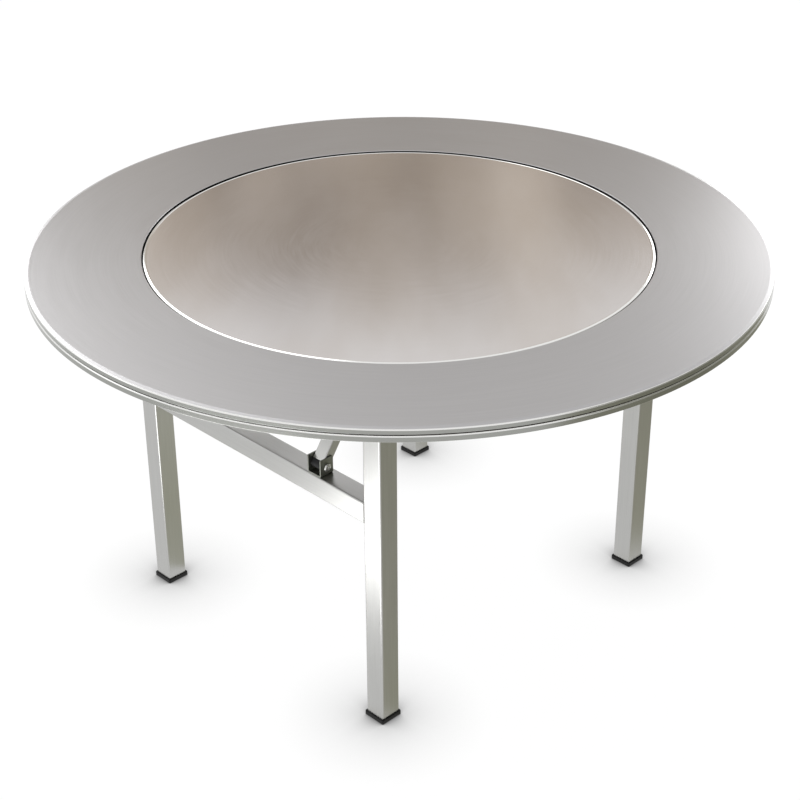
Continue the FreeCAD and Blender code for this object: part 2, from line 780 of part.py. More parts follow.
def brace_anchor():
    """U-bracket welded under a cross rail, round a yoke."""
    height = brace_pivot_drop + anchor_ear_below_pivot
    shape = u_bracket(anchor_width, height, anchor_depth, bracket_bend, anchor_ear_corner)
    shape.translate(Vector(-brace_pivot_x, -brace_offset, rail_bottom))
    reach = anchor_width / 2 + cut_overrun
    hole = brace_rod_diameter + 2 * running_clearance
    bore = bar_y(hole, -brace_pivot_x, brace_pivot_height, -brace_offset - reach, -brace_offset + reach)
    return shape.cut(bore)


def placed(shape, side, end):
    """Copy of a left front piece at another side and end of the table."""
    if side == "right":
        shape = shape.mirror(Vector(0, 0, 0), Vector(1, 0, 0))
    if end == "rear":
        shape = shape.mirror(Vector(0, 0, 0), Vector(0, 1, 0))
    return shape


def both_ends(shape, side):
    """A piece at the front and the rear of one side, as one group."""
    return Part.makeCompound([placed(shape, side, end) for end in ends])


def top_pieces():
    """Pieces of the fixed top and of the frame under it."""
    pieces = {
        "top_ring_skin": top_ring_skin(),
        "ring_core_board": ring_core_board(),
        "bottom_pan": bottom_pan(),
        "bearing_base_ring": bearing_base_ring(),
        "bearing_base_screws": bearing_base_screws(),
    }
    screws = []
    for end in ends:
        pieces[f"{end}_rail"] = placed(long_rail(), "left", end)
        pieces[f"right_{end}_hinge_riser"] = placed(hinge_riser(), "right", end)
    for side in sides:
        pieces[f"{side}_cross_rail"] = placed(cross_rail(), side, "front")
        pieces[f"{side}_brace_anchors"] = both_ends(brace_anchor(), side)
        pieces[f"{side}_hinge_bolts"] = both_ends(hinge_bolt(side), side)
        screws.append(both_ends(bracket_screws(side), side))
        for end in ends:
            pieces[f"{side}_{end}_hinge_bracket"] = placed(hinge_bracket(side), side, end)
    pieces["hinge_bracket_screws"] = Part.makeCompound(screws)
    return pieces


def turntable_pieces():
    """Pieces that turn with the turntable, and the balls under it."""
    return {
        "turntable_skin": turntable_skin(),
        "turntable_core": turntable_core(),
        "bearing_top_ring": bearing_top_ring(),
        "bearing_top_screws": bearing_top_screws(),
        "ball_cage": ball_cage(),
        "bearing_balls": bearing_balls(),
    }


def frame_pieces(side):
    """Pieces of one leg frame and of its braces."""
    pieces = {
        f"{side}_crossbar": placed(crossbar(), side, "front"),
        f"{side}_leg_plugs": both_ends(leg_plug(side), side),
        f"{side}_hinge_bushes": both_ends(hinge_bush(side), side),
        f"{side}_brace_bolts": both_ends(brace_bolt(), side),
        f"{side}_brace_plugs": both_ends(brace_plug(), side),
        f"{side}_knee_yokes": both_ends(knee_yoke(side), side),
        f"{side}_knee_rivets": both_ends(knee_rivets(side), side),
        f"{side}_brace_rod": placed(brace_rod(), side, "front"),
    }
    for end in ends:
        pieces[f"{side}_{end}_leg"] = placed(leg(side), side, end)
        pieces[f"{side}_{end}_foot"] = placed(foot(), side, end)
        pieces[f"{side}_{end}_brace_bracket"] = placed(brace_bracket(), side, end)
        pieces[f"{side}_{end}_brace_tube"] = placed(brace_tube(side), side, end)
    return pieces


def main():
    """Build every piece and write it to its own file."""
    os.makedirs("parts", exist_ok=True)
    pieces = {**top_pieces(), **turntable_pieces()}
    for side in sides:
        pieces.update(frame_pieces(side))
    for name, shape in pieces.items():
        shape.exportStep(f"parts/{name}.step")


main()
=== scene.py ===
import json
import math

import bmesh
import bpy
import numpy as np
from bpy.props import FloatProperty, FloatVectorProperty, IntProperty, PointerProperty
from mathutils import Matrix, Vector


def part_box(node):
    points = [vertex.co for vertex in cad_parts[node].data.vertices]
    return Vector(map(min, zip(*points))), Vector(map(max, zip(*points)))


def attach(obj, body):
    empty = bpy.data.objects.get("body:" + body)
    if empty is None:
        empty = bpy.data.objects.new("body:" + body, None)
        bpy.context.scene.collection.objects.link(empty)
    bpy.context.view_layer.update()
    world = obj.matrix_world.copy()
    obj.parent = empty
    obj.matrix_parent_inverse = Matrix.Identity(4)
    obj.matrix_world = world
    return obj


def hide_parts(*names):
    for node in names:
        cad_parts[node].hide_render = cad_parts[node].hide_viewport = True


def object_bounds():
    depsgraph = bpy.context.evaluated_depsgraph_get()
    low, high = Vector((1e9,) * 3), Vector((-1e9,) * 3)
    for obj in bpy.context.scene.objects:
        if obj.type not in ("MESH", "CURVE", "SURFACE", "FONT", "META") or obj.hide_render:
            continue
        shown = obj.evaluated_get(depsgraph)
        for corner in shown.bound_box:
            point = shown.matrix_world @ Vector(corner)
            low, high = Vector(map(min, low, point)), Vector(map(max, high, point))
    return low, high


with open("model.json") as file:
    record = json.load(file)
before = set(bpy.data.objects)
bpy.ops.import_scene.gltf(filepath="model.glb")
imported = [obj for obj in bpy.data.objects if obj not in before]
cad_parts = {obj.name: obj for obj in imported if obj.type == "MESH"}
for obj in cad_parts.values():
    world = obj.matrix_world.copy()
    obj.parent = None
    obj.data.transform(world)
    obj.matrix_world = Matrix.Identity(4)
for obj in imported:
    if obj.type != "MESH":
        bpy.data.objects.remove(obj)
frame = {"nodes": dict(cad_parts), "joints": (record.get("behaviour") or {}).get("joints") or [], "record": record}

# Looks of a folding steel dining table with a turntable in its top, and the studio round it.
# Metres, +Z up, the origin on the floor below the centre of the top; left is -X and front is -Y.

bl_info = {
    "name": "Steel Table With Turntable",
    "version": (1, 0, 0),
    "blender": (4, 5, 0),
    "location": "3D View > Sidebar > Table",
    "description": "Skins, finishes and small pieces of a folding steel dining table",
    "category": "Object",
}

CAD_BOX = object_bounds()
FULL_TURN = 2 * math.pi
MM = 0.001
SIDES = ("left", "right")
ENDS = ("front", "rear")
NODES = frame["nodes"]
JOINTS = {joint["name"]: joint for joint in frame["joints"]}
BODY_OF = {node: body for body, nodes in frame["record"]["behaviour"]["bodies"].items() for node in nodes}


def linear(code):
    """Linear RGBA of an sRGB hex colour."""
    shares = [int(code[place:place + 2], 16) / 255 for place in (1, 3, 5)]
    return tuple(s / 12.92 if s <= 0.04045 else ((s + 0.055) / 1.055) ** 2.4 for s in shares) + (1.0,)


def length(name, description, default):
    """Property for a length, its default in millimetres."""
    return FloatProperty(name=name, description=description, default=default * MM, min=0,
                         unit="LENGTH", precision=5)


def colour(name, description, code):
    """Property for a colour, its default an sRGB hex value."""
    return FloatVectorProperty(name=name, description=description, subtype="COLOR", size=4,
                               min=0, max=1, default=linear(code))


def angle(name, description, degrees):
    """Property for an angle, its default in degrees."""
    return FloatProperty(name=name, description=description, default=math.radians(degrees), subtype="ANGLE")


def share(name, description, default):
    """Property for a share between 0 and 1."""
    return FloatProperty(name=name, description=description, default=default, min=0, max=1,
                         subtype="FACTOR")


def power(name, description, watts):
    """Property for a lamp's power."""
    return FloatProperty(name=name, description=description, default=watts, min=0, unit="POWER")


class TableSizes(bpy.types.PropertyGroup):
    """Sizes of the skins, the fasteners and the welds."""

    sheet: length("Sheet", "Thickness of the top's sheet steel", 1.2)
    slope_width: length("Slope width", "Width of the sloped band round the top", 8)
    slope_drop: length("Slope drop", "Fall of the sloped band", 2)
    slope_blend: length("Slope blend", "Bend between the flat top and the slope", 8)
    rim_corner: length("Rim corner", "Bend at the foot of the slope", 2.5)
    bead: length("Upper bead", "Height of the upper bead of the rim", 10.4)
    bead_corner: length("Bead corner", "Small bends of the beads", 0.8)
    lower_shoulder: length("Lower shoulder", "Bend at the top of the lower bead", 3)
    lip: length("Lip", "Depth of the groove between the beads", 9)
    well_roll: length("Well roll", "Bend where the top turns down into the well", 1.4)
    edge_gap: length("Edge gap", "Gap between the turntable and the wall of the well", 2.4)
    crest_rise: length("Crest rise", "Rise of the turntable's edge above its flat", 0.8)
    crest_run: length("Crest run", "Width of the rise to the turntable's edge", 1.6)
    crest_foot: length("Crest foot", "Bend at the foot of the rise", 1)
    bevel_width: length("Bevel width", "Width of the sloped edge of the turntable", 5)
    bevel_drop: length("Bevel drop", "Fall of the turntable's sloped edge", 1.3)
    bevel_blend: length("Bevel blend", "Bend at the crest of the turntable's edge", 1.5)
    turntable_roll: length("Turntable roll", "Bend at the turntable's edge", 2)
    turntable_lip: length("Turntable lip", "Hem under the turntable's edge", 12)
    turns: IntProperty(name="Turned steps", description="Facets round a turned skin", default=720, min=96)

    hinge_head: length("Hinge head", "Head diameter of a hinge bolt", 18)
    hinge_head_height: length("Hinge head height", "Head height of a hinge bolt", 5.5)
    hinge_shank: length("Hinge shank", "Diameter of a hinge bolt", 10)
    hinge_nut: length("Hinge nut", "Width of a hinge bolt's nut", 17)
    hinge_nut_height: length("Hinge nut height", "Height of a hinge bolt's nut", 8)
    hinge_socket: length("Hinge socket", "Width of the hexagon socket in a hinge bolt", 6)
    brace_head: length("Brace head", "Head diameter of a brace bolt", 15)
    brace_head_height: length("Brace head height", "Head height of a brace bolt", 4.5)
    brace_shank: length("Brace shank", "Diameter of a brace bolt", 8)
    brace_nut: length("Brace nut", "Width of a brace bolt's nut", 13)
    brace_nut_height: length("Brace nut height", "Height of a brace bolt's nut", 6.5)
    brace_socket: length("Brace socket", "Width of the hexagon socket in a brace bolt", 5)
    head_gap: length("Head gap", "Play under a bolt's head and nut", 0.3)

    weld: length("Weld", "Radius of a weld bead", 0.5)
    weld_ripple: length("Weld ripple", "Length of one ripple of a weld bead", 3.2)
    bracket_bend: length("Bracket bend", "Bend of the folded brackets", 4)


class TableColours(bpy.types.PropertyGroup):
    """Colours of the finishes."""

    brushed: colour("Brushed steel", "Brushed stainless sheet of the ring and the pan", "#B3B2B3")
    brushed_low: colour("Brushed grain", "Darker lines of the brushed grain", "#AEADAE")
    # Painted highlight: a bright colour on the ring's corners and the turntable's sloped edge, set to the glints
    # that these edges catch.
    painted_highlight: colour("Buffed edge", "Bright corners of the ring and sloped edge of the turntable", "#E6E6E4")
    # Painted shade: the outer wall of the ring and the pan, darker than the same brushed sheet on top.
    rim: colour("Rim", "Outer wall of the ring and the pan", "#9C9D99")
    # Painted shadow: near black on the wall of the well, where the gap round the turntable lies in shade.
    well: colour("Well wall", "Blackened wall of the well round the turntable", "#1E1E1E")
    polished: colour("Polished steel", "Polished stainless sheet of the turntable", "#D8D5D5")
    # Painted reflection: warmer, darker clouds on the turntable that stand in for blurred reflections.
    polished_painted_reflection: colour("Polished cloud", "Warmer, darker clouds of the polish", "#CEC9C6")
    tube: colour("Tube", "Satin steel of the tubes", "#B8B8B6")
    tube_low: colour("Tube grain", "Darker lines of the tubes' grain", "#B1B1AF")
    bracket: colour("Bracket", "Zinc-plated bracket steel", "#8A8C84")
    bracket_low: colour("Bracket patch", "Darker crystals of the zinc", "#787A72")
    fastener: colour("Fastener", "Bright plated bolts and rivets", "#C9C9C6")
    # Lighter than the tube steel: a painted highlight that keeps the weld beads from showing as dark lines.
    weld: colour("Weld", "Ground weld metal", "#C4C4C0")
    plastic: colour("Plastic", "Black moulded plastic", "#101011")
    plastic_worn: colour("Plastic bloom", "Greyer bloom on the plastic", "#1A1A1B")
    nylon: colour("Nylon", "Natural nylon of the ball cage", "#DAD7C8")
    board: colour("Board", "Particle board", "#A8875D")
    board_chip: colour("Board chip", "Darker chips of the board", "#7B5C38")
    aluminium: colour("Aluminium", "Mill-finish bearing rings", "#C2C3C4")


class TableStudio(bpy.types.PropertyGroup):
    """Camera, floor, lamps and cards."""

    azimuth: angle("Azimuth", "Heading of the camera round the table; 0 looks along +Y", -44.465)
    elevation: angle("Elevation", "Height of the camera above the horizon", 29.261)
    roll: angle("Roll", "Turn of the camera about its own line of sight", -0.304)
    distance: length("Distance", "From the camera to the point that it aims at", 3431)
    aim_height: length("Aim height", "Height of the point that the camera aims at", 401.4)
    lens: FloatProperty(name="Lens", description="Focal length on a 36 mm sensor", default=77.5,
                        unit="CAMERA")
    floor: length("Floor", "Width of the floor", 24000)
    contact: length("Contact shadow", "Reach of the soft shadow round each foot", 180)
    floor_glow: share("Floor glow", "Even light of the floor where it is seen", 0.97)
    floor_shade: share("Floor shade", "Share of the lamps' own light and shadow on the floor", 0.06)
    floor_left: power("Floor left", "Lamp low on the left", 7.0)
    floor_back: power("Floor back", "Lamp low behind, which lights the underside", 15)
    side_left: power("Side left", "Lamp on the left", 3.4)
    high_left: power("High left", "Lamp high behind on the left", 9)
    back_left: power("Back left", "Tall lamp behind on the left", 19)
    back_right: power("Back right", "Lamp behind on the right", 13.5)
    card: colour("Card", "Warm grey card behind the table, which only metal shows", "#D8CDBF")
    card_low: colour("Card patches", "Darker patches of the card", "#8E847A")
    flag: colour("Flag", "Middle of the dark cards on the floor, which only metal shows", "#9C9B8C")
    flag_edge: colour("Flag edge", "Edge of the dark cards on the floor", "#BFBEAE")
    side: colour("Side flag", "Middle of the upright dark card on the right", "#84847C")
    side_edge: colour("Side flag edge", "Edge of the upright dark card", "#A8A8A0")
    leg: colour("Leg card", "Middle of the small card beside the left leg", "#C4C4B4")
    leg_edge: colour("Leg card edge", "Edge of the small card beside the left leg", "#D2D2C6")


# Meshes

def vertices(node):
    """All vertices of a CAD node, as rows."""
    mesh = NODES[node].data
    found = np.empty(len(mesh.vertices) * 3, np.float32)
    mesh.vertices.foreach_get("co", found)
    return found.reshape(-1, 3).astype(float)


def reach(node):
    """Least and greatest distance of a node from the vertical axis."""
    across = np.hypot(*vertices(node)[:, :2].T)
    return across.min(), across.max()


def heights(node):
    """Lowest and highest point of a node."""
    low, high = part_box(node)
    return low.z, high.z


def grid_faces(rows, columns, wrap_rows, wrap_columns, first):
    """Quads between neighbours on a grid, closed along the rows or columns that wrap."""
    row = np.arange(rows if wrap_rows else rows - 1)[:, None]
    column = np.arange(columns if wrap_columns else columns - 1)[None, :]
    next_row = (row + 1) % rows
    next_column = (column + 1) % columns
    corners = [row * columns + column, next_row * columns + column,
               next_row * columns + next_column, row * columns + next_column]
    return np.stack([corner + first for corner in corners], axis=-1).reshape(-1, 4)


def make_piece(name, grids, material, body, replaced=(), crease=35):
    """One object from (points, wrap_rows, wrap_columns) grids, with its poles merged, its faces
    outward and its edges sharp past the crease angle; it rides on a body and stands for nodes."""
    points = []
    faces = []
    first = 0
    for grid, wrap_rows, wrap_columns in grids:
        rows, columns = grid.shape[:2]
        points.append(grid.reshape(-1, 3))
        faces.append(grid_faces(rows, columns, wrap_rows, wrap_columns, first))
        first += rows * columns
    mesh = bpy.data.meshes.new(name)
    mesh.from_pydata(np.concatenate(points), [], np.concatenate(faces))
    work = bmesh.new()
    work.from_mesh(mesh)
    bmesh.ops.remove_doubles(work, verts=work.verts, dist=MM / 1000)
    bmesh.ops.recalc_face_normals(work, faces=work.faces)
    work.to_mesh(mesh)
    work.free()
    mesh.shade_smooth()
    mesh.set_sharp_from_angle(angle=math.radians(crease))
    piece = bpy.data.objects.new(name, mesh)
    bpy.context.scene.collection.objects.link(piece)
    piece.data.materials.append(material)
    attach(piece, body)
    if replaced:
        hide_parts(*replaced)
    return piece


def rounded(path, arc_steps=10):
    """Points along a path of (a, b, radius) corners: each corner is a tangent arc, whose ends have
    a second point close by on the straight, so that flats stay flat in smooth shading."""
    places = np.array([corner[:2] for corner in path], float)
    stretches = [places[:1]]
    for index in range(1, len(path) - 1):
        radius = path[index][2]
        back = places[index - 1] - places[index]
        ahead = places[index + 1] - places[index]
        back /= np.linalg.norm(back)
        ahead /= np.linalg.norm(ahead)
        if radius <= 0:
            stretches.append(places[index:index + 1])
            continue
        half = math.acos(np.clip(back @ ahead, -1, 1)) / 2
        bisector = (back + ahead) / np.linalg.norm(back + ahead)
        centre = places[index] + bisector * radius / math.sin(half)
        sweep = np.linspace(half - math.pi / 2, math.pi / 2 - half, arc_steps + 1)[:, None]
        normal = (back - ahead) / np.linalg.norm(back - ahead)
        arc = centre + radius * (-bisector * np.cos(sweep) - normal * np.sin(sweep))
        guard = min(radius, MM) / 2
        stretches += [arc[:1] + back * guard, arc, arc[-1:] + ahead * guard]
    stretches.append(places[-1:])
    return np.concatenate(stretches)


def bent_sheet(path, thickness):
    """Closed section of bent sheet: the path is its outer side, and the thickness lies to its right. The
    inner side is the path moved in by the thickness, with smaller bends where it turns to the right and
    larger ones where it turns to the left."""
    places = np.array([corner[:2] for corner in path], float)
    ahead = np.diff(places, axis=0)
    ahead /= np.linalg.norm(ahead, axis=1)[:, None]
    rights = np.stack([ahead[:, 1], -ahead[:, 0]], axis=1)
    first = np.concatenate([rights[:1], rights])
    second = np.concatenate([rights, rights[-1:]])
    inward = thickness / (1 + np.sum(first * second, axis=1))
    inner = places + (first + second) * inward[:, None]
    turn = np.sign(first[:, 0] * second[:, 1] - first[:, 1] * second[:, 0])
    bends = np.maximum(np.array([corner[2] for corner in path]) + turn * thickness, 0)
    inner_path = [(a, b, bend) for (a, b), bend in zip(inner, bends)]
    return np.concatenate([rounded(path), rounded(inner_path)[::-1]])


def turned(profile, turns):
    """Surface of revolution: each (radius, height) point of the profile goes round the vertical axis."""
    heading = np.linspace(0, FULL_TURN, turns, endpoint=False)[:, None]
    radius, height = profile.T
    return np.stack([radius * np.cos(heading), radius * np.sin(heading),
                     np.broadcast_to(height, (turns, len(height)))], axis=-1)


def hexagon(heading):
    """Distance from the centre of a hexagon of unit corner radius to its edge, along each heading."""
    return math.cos(math.pi / 6) / np.cos(np.mod(heading, math.pi / 3) - math.pi / 6)


def button_bolt(head, head_height, shank, reach_below, socket, steps=72):
    """Button-headed bolt along +Z, the underside of its head at zero. Going from the socket's floor
    outwards, each ring has a radius and a height, and its outline runs from hexagon to circle."""
    socket_corner = socket / math.sqrt(3)
    socket_depth = 0.55 * head_height
    brim = 0.35 * head_height
    lift = np.linspace(math.asin(min(1.25 * socket_corner / (head / 2), 1)), math.pi / 2, 9)
    dome_radius = head / 2 * np.sin(lift)
    dome_height = brim + (head_height - brim) * np.cos(lift) / math.cos(lift[0])
    chamfer = shank / 10
    shank_radius = shank / 2
    below = [head / 2, head / 2 - chamfer / 2, shank_radius, shank_radius, shank_radius - chamfer, 0]
    radius = np.concatenate([[0, socket_corner, socket_corner, 1.12 * socket_corner], dome_radius, below])
    floor = head_height - socket_depth
    height = np.concatenate([[floor, floor, head_height - chamfer / 4, head_height], dome_height,
                             [chamfer / 2, 0, 0, chamfer - reach_below, -reach_below, -reach_below]])
    hexness = np.zeros(len(radius))
    hexness[1:4] = (1, 1, 0.5)
    heading = np.linspace(0, FULL_TURN, steps, endpoint=False)[:, None]
    outline = radius * (1 - hexness + hexness * hexagon(heading))
    return np.stack([outline * np.cos(heading), outline * np.sin(heading),
                     np.broadcast_to(height, outline.shape)], axis=-1)


def hex_nut(width, height, bore, steps=72):
    """Hexagon nut along +Z, its lower face at zero: the lesser of a hexagon and of the circle that a
    chamfer leaves at each height, with a bore through it."""
    corner = width / math.sqrt(3)
    fall = np.linspace(0, 1, 7)
    chamfer = (corner - 0.96 * width / 2) * math.tan(math.radians(30))
    limit = 0.96 * width / 2 + (corner - 0.96 * width / 2) * fall
    radius = np.concatenate([[bore / 2, bore / 2 * 1.12], limit, limit[::-1], [bore / 2 * 1.12, bore / 2]])
    rise = chamfer * fall
    dip = bore / 2 * 0.12
    level = np.concatenate([[dip, 0], rise, height - rise[::-1], [height, height - dip]])
    heading = np.linspace(0, FULL_TURN, steps, endpoint=False)[:, None]
    outline = np.minimum(radius, corner * hexagon(heading))
    return np.stack([outline * np.cos(heading), outline * np.sin(heading),
                     np.broadcast_to(level, outline.shape)], axis=-1)


def along_y(points, centre, outward):
    """Points of a piece drawn along +Z, laid along Y so that +Z points to the outward sign of Y."""
    x, y, z = np.moveaxis(points, -1, 0)
    return np.stack([x + centre[0], outward * z + centre[1], y + centre[2]], axis=-1)


def bead_round(corners, ripple, radius, level, section=10):
    """Weld bead round a closed outline of (x, z) corners at a level of Y: a circle carried along the
    rounded path, its radius waving by one ripple after another."""
    loop = rounded(list(corners) + [corners[0], corners[1]])
    start = np.argmin(np.linalg.norm(loop[:, None] - loop[None, -1], axis=2)[:-1, 0])
    closed = np.vstack([loop[start:-1], loop[start:start + 1]])
    step = np.linalg.norm(np.diff(closed, axis=0), axis=1)
    total = step.sum()
    count = max(int(total / ripple) * 6, 24)
    where = np.linspace(0, total, count, endpoint=False)
    along = np.concatenate([[0], np.cumsum(step)])
    centre = np.stack([np.interp(where, along, closed[:, axis]) for axis in (0, 1)], axis=1)
    ahead = np.roll(centre, -1, axis=0) - np.roll(centre, 1, axis=0)
    ahead /= np.linalg.norm(ahead, axis=1)[:, None]
    side = np.stack([ahead[:, 1], -ahead[:, 0]], axis=1)
    swell = radius * (1 + 0.1 * np.abs(np.sin(math.pi * where / ripple)))[:, None]
    turn = np.linspace(0, FULL_TURN, section, endpoint=False)[None, :]
    flat = centre[:, None, :] + side[:, None, :] * (swell * np.cos(turn))[..., None]
    return np.stack([flat[..., 0], level + swell * np.sin(turn), flat[..., 1]], axis=-1)


def bead_straight(start, end, ripple, radius, section=10):
    """Weld bead along a line: a circle whose radius rises from nothing, waves by one ripple after
    another and falls to nothing."""
    start = np.array(start)
    run = np.array(end) - start
    total = np.linalg.norm(run)
    along = (1 - np.cos(np.linspace(0, math.pi, int(total / ripple) * 6))) / 2
    ripples = 1 + 0.1 * np.abs(np.sin(math.pi * total * along / ripple))
    swell = radius * (1 - (2 * along - 1) ** 8) ** 0.5 * ripples
    ahead = run / total
    up = np.array([0, 0, 1.0])
    side = np.cross(ahead, up)
    turn = np.linspace(0, FULL_TURN, section, endpoint=False)
    circle = np.cos(turn)[:, None] * side + np.sin(turn)[:, None] * up
    centre = start + run * along[:, None]
    return centre[:, None, :] + swell[:, None, None] * circle[None]


# Materials

def add(tree, kind, inputs=None, **settings):
    """Add a node with its settings; inputs maps sockets to values or to the sockets that feed them."""
    node = tree.nodes.new(kind)
    for name, value in settings.items():
        setattr(node, name, value)
    for socket, value in (inputs or {}).items():
        if isinstance(value, bpy.types.NodeSocket):
            tree.links.new(value, node.inputs[socket])
        else:
            node.inputs[socket].default_value = value
    return node


def material_tree(name):
    """New material with an empty tree."""
    material = bpy.data.materials.new(name)
    material.use_nodes = True
    material.node_tree.nodes.clear()
    return material, material.node_tree


def finished(material, tree, **inputs):
    """Close a material with one Principled shader."""
    sockets = {name.replace("_", " "): value for name, value in inputs.items()}
    shader = add(tree, "ShaderNodeBsdfPrincipled", sockets)
    add(tree, "ShaderNodeOutputMaterial", {"Surface": shader.outputs["BSDF"]})
    return material


# Where a noise mostly lies, as the range that a Map Range node spreads, and the depth of a fine relief
NOISE = {"From Min": 0.3, "From Max": 0.7}
FINE = {"Distance": 0.1 * MM}


def from_axis(tree):
    """Distance of a point from the vertical axis, and its heading as a unit vector."""
    place = add(tree, "ShaderNodeTexCoord").outputs["Object"]
    level = add(tree, "ShaderNodeVectorMath", {0: place, 1: (1, 1, 0)}, operation="MULTIPLY").outputs[0]
    radius = add(tree, "ShaderNodeVectorMath", {0: level}, operation="LENGTH").outputs["Value"]
    heading = add(tree, "ShaderNodeVectorMath", {0: level}, operation="NORMALIZE").outputs[0]
    return radius, heading


def circle_grain(tree, spacing, rounds):
    """Noise drawn out along circles round the vertical axis: lines a spacing apart, which change about
    six times a round for each of the rounds."""
    radius, heading = from_axis(tree)
    lines = add(tree, "ShaderNodeMath", {0: radius, 1: 1 / spacing}, operation="MULTIPLY").outputs[0]
    rise = add(tree, "ShaderNodeCombineXYZ", {"Z": lines}).outputs[0]
    spun = {0: heading, 1: (rounds,) * 3, 2: rise}
    place = add(tree, "ShaderNodeVectorMath", spun, operation="MULTIPLY_ADD")
    noise = add(tree, "ShaderNodeTexNoise", {"Vector": place.outputs[0], "Scale": 1.0, "Detail": 3.0})
    return noise.outputs["Fac"], radius


def straight_grain(tree, spacing, run, turn):
    """Noise drawn out along a tube, which lies along X once the pattern is turned back."""
    place = add(tree, "ShaderNodeTexCoord").outputs["Object"]
    flat = add(tree, "ShaderNodeMapping", {"Vector": place, "Rotation": turn}, vector_type="TEXTURE")
    scale = (1 / run, 1 / spacing, 1 / spacing)
    drawn = add(tree, "ShaderNodeVectorMath", {0: flat.outputs[0], 1: scale}, operation="MULTIPLY")
    noise = add(tree, "ShaderNodeTexNoise", {"Vector": drawn.outputs[0], "Scale": 1.0, "Detail": 3.0})
    return noise.outputs["Fac"]


def speckle(tree, size):
    """Even noise of a size."""
    place = add(tree, "ShaderNodeTexCoord").outputs["Object"]
    noise = add(tree, "ShaderNodeTexNoise", {"Vector": place, "Scale": 1 / size, "Detail": 2.0})
    return noise.outputs["Fac"]


def brushed_stainless(colours, well, painted_highlight_start, rim):
    """Stainless sheet brushed in circles: a grey metal whose highlights fan out across the grain, with a painted
    highlight on its corners, painted shade on its outer wall and a near-black painted shadow on the wall of the
    well. The grain is really about 0.1 mm apart; it is drawn at 2 mm so that it shows."""
    material, tree = material_tree("brushed_stainless_sheet")
    grain, radius = circle_grain(tree, spacing=2 * MM, rounds=4)
    lines = add(tree, "ShaderNodeMapRange", {"Value": grain} | NOISE).outputs[0]
    satin = add(tree, "ShaderNodeMapRange",
                {"Value": grain, "To Min": 0.34, "To Max": 0.38} | NOISE).outputs[0]
    # Mask of the ring's outer corners, which take the bright painted highlight colour and a smoother finish.
    corner = add(tree, "ShaderNodeMapRange", {"Value": radius, "From Min": painted_highlight_start,
                                              "From Max": painted_highlight_start + 0.8 * MM}).outputs[0]
    # Mask of the outer wall, which takes the darker rim colour as painted shade.
    wall = add(tree, "ShaderNodeMapRange", {"Value": radius, "From Min": rim - 0.12 * MM,
                                            "From Max": rim - 0.04 * MM}).outputs[0]
    # Mask of the wall of the well, coloured near black as a painted shadow in the gap round the turntable.
    inside = add(tree, "ShaderNodeMath", {0: radius, 1: well, 2: 0.02 * MM}, operation="COMPARE").outputs[0]
    flat = add(tree, "ShaderNodeMix", {0: lines, 6: colours.brushed_low[:], 7: colours.brushed[:]},
               data_type="RGBA").outputs[2]
    flat = add(tree, "ShaderNodeMix", {0: inside, 6: flat, 7: colours.well[:]}, data_type="RGBA").outputs[2]
    # Painted highlight on the corners, painted shade on the outer wall.
    edge = add(tree, "ShaderNodeMix", {0: wall, 6: colours.painted_highlight[:], 7: colours.rim[:]},
               data_type="RGBA").outputs[2]
    return finished(
        material, tree,
        Base_Color=add(tree, "ShaderNodeMix", {0: corner, 6: flat, 7: edge}, data_type="RGBA").outputs[2],
        Metallic=1.0,
        Roughness=add(tree, "ShaderNodeMix", {0: corner, 2: satin, 3: 0.22}).outputs[0],
        Anisotropic=0.2,
        Anisotropic_Rotation=0.25,
        Tangent=add(tree, "ShaderNodeTangent", direction_type="RADIAL", axis="Z").outputs[0],
        Normal=add(tree, "ShaderNodeBump", {"Height": grain, "Strength": 0.02} | FINE).outputs[0],
    )


def polished_stainless(colours, bevel_start):
    """Stainless sheet polished to a soft mirror: the surroundings show blurred, with faint warm clouds about 200
    mm across painted in as blurred reflections, fine turning marks and a painted highlight on its sloped edge."""
    material, tree = material_tree("polished_stainless_sheet")
    # Soft streaked clouds that darken and warm the polished colour: painted blurred reflections.
    clouds = straight_grain(tree, spacing=170 * MM, run=520 * MM, turn=(0, 0, math.radians(45)))
    marks, radius = circle_grain(tree, spacing=3 * MM, rounds=3)
    # Mask of the turntable's sloped edge, which takes the bright painted highlight colour and a smoother finish.
    bevel = add(tree, "ShaderNodeMapRange", {"Value": radius, "From Min": bevel_start - 0.5 * MM,
                                             "From Max": bevel_start + 0.5 * MM}).outputs[0]
    cloud = add(tree, "ShaderNodeMapRange",
                {"Value": clouds, "From Min": 0.35, "From Max": 0.65}).outputs[0]
    flat = add(tree, "ShaderNodeMix", {0: cloud, 6: colours.polished_painted_reflection[:], 7: colours.polished[:]},
               data_type="RGBA").outputs[2]
    soft = add(tree, "ShaderNodeMapRange",
               {"Value": marks, "To Min": 0.16, "To Max": 0.19} | NOISE).outputs[0]
    return finished(
        material, tree,
        Base_Color=add(tree, "ShaderNodeMix", {0: bevel, 6: flat, 7: colours.painted_highlight[:]},
                       data_type="RGBA").outputs[2],
        Metallic=1.0,
        Roughness=add(tree, "ShaderNodeMix", {0: bevel, 2: soft, 3: 0.1}).outputs[0],
        Normal=add(tree, "ShaderNodeBump", {"Height": marks, "Strength": 0.015} | FINE).outputs[0],
    )


def satin_tube(colours, name, turn):
    """Steel tube with a satin grain along its length, about 0.1 mm apart and drawn at 1.6 mm."""
    material, tree = material_tree(f"satin_steel_tube_{name}")
    grain = straight_grain(tree, spacing=1.6 * MM, run=90 * MM, turn=turn)
    lines = add(tree, "ShaderNodeMapRange", {"Value": grain} | NOISE).outputs[0]
    satin = add(tree, "ShaderNodeMapRange",
                {"Value": grain, "To Min": 0.28, "To Max": 0.34} | NOISE).outputs[0]
    return finished(
        material, tree,
        Base_Color=add(tree, "ShaderNodeMix", {0: lines, 6: colours.tube_low[:], 7: colours.tube[:]},
                       data_type="RGBA").outputs[2],
        Metallic=1.0,
        Roughness=satin,
        Normal=add(tree, "ShaderNodeBump", {"Height": grain, "Strength": 0.08} | FINE).outputs[0],
    )


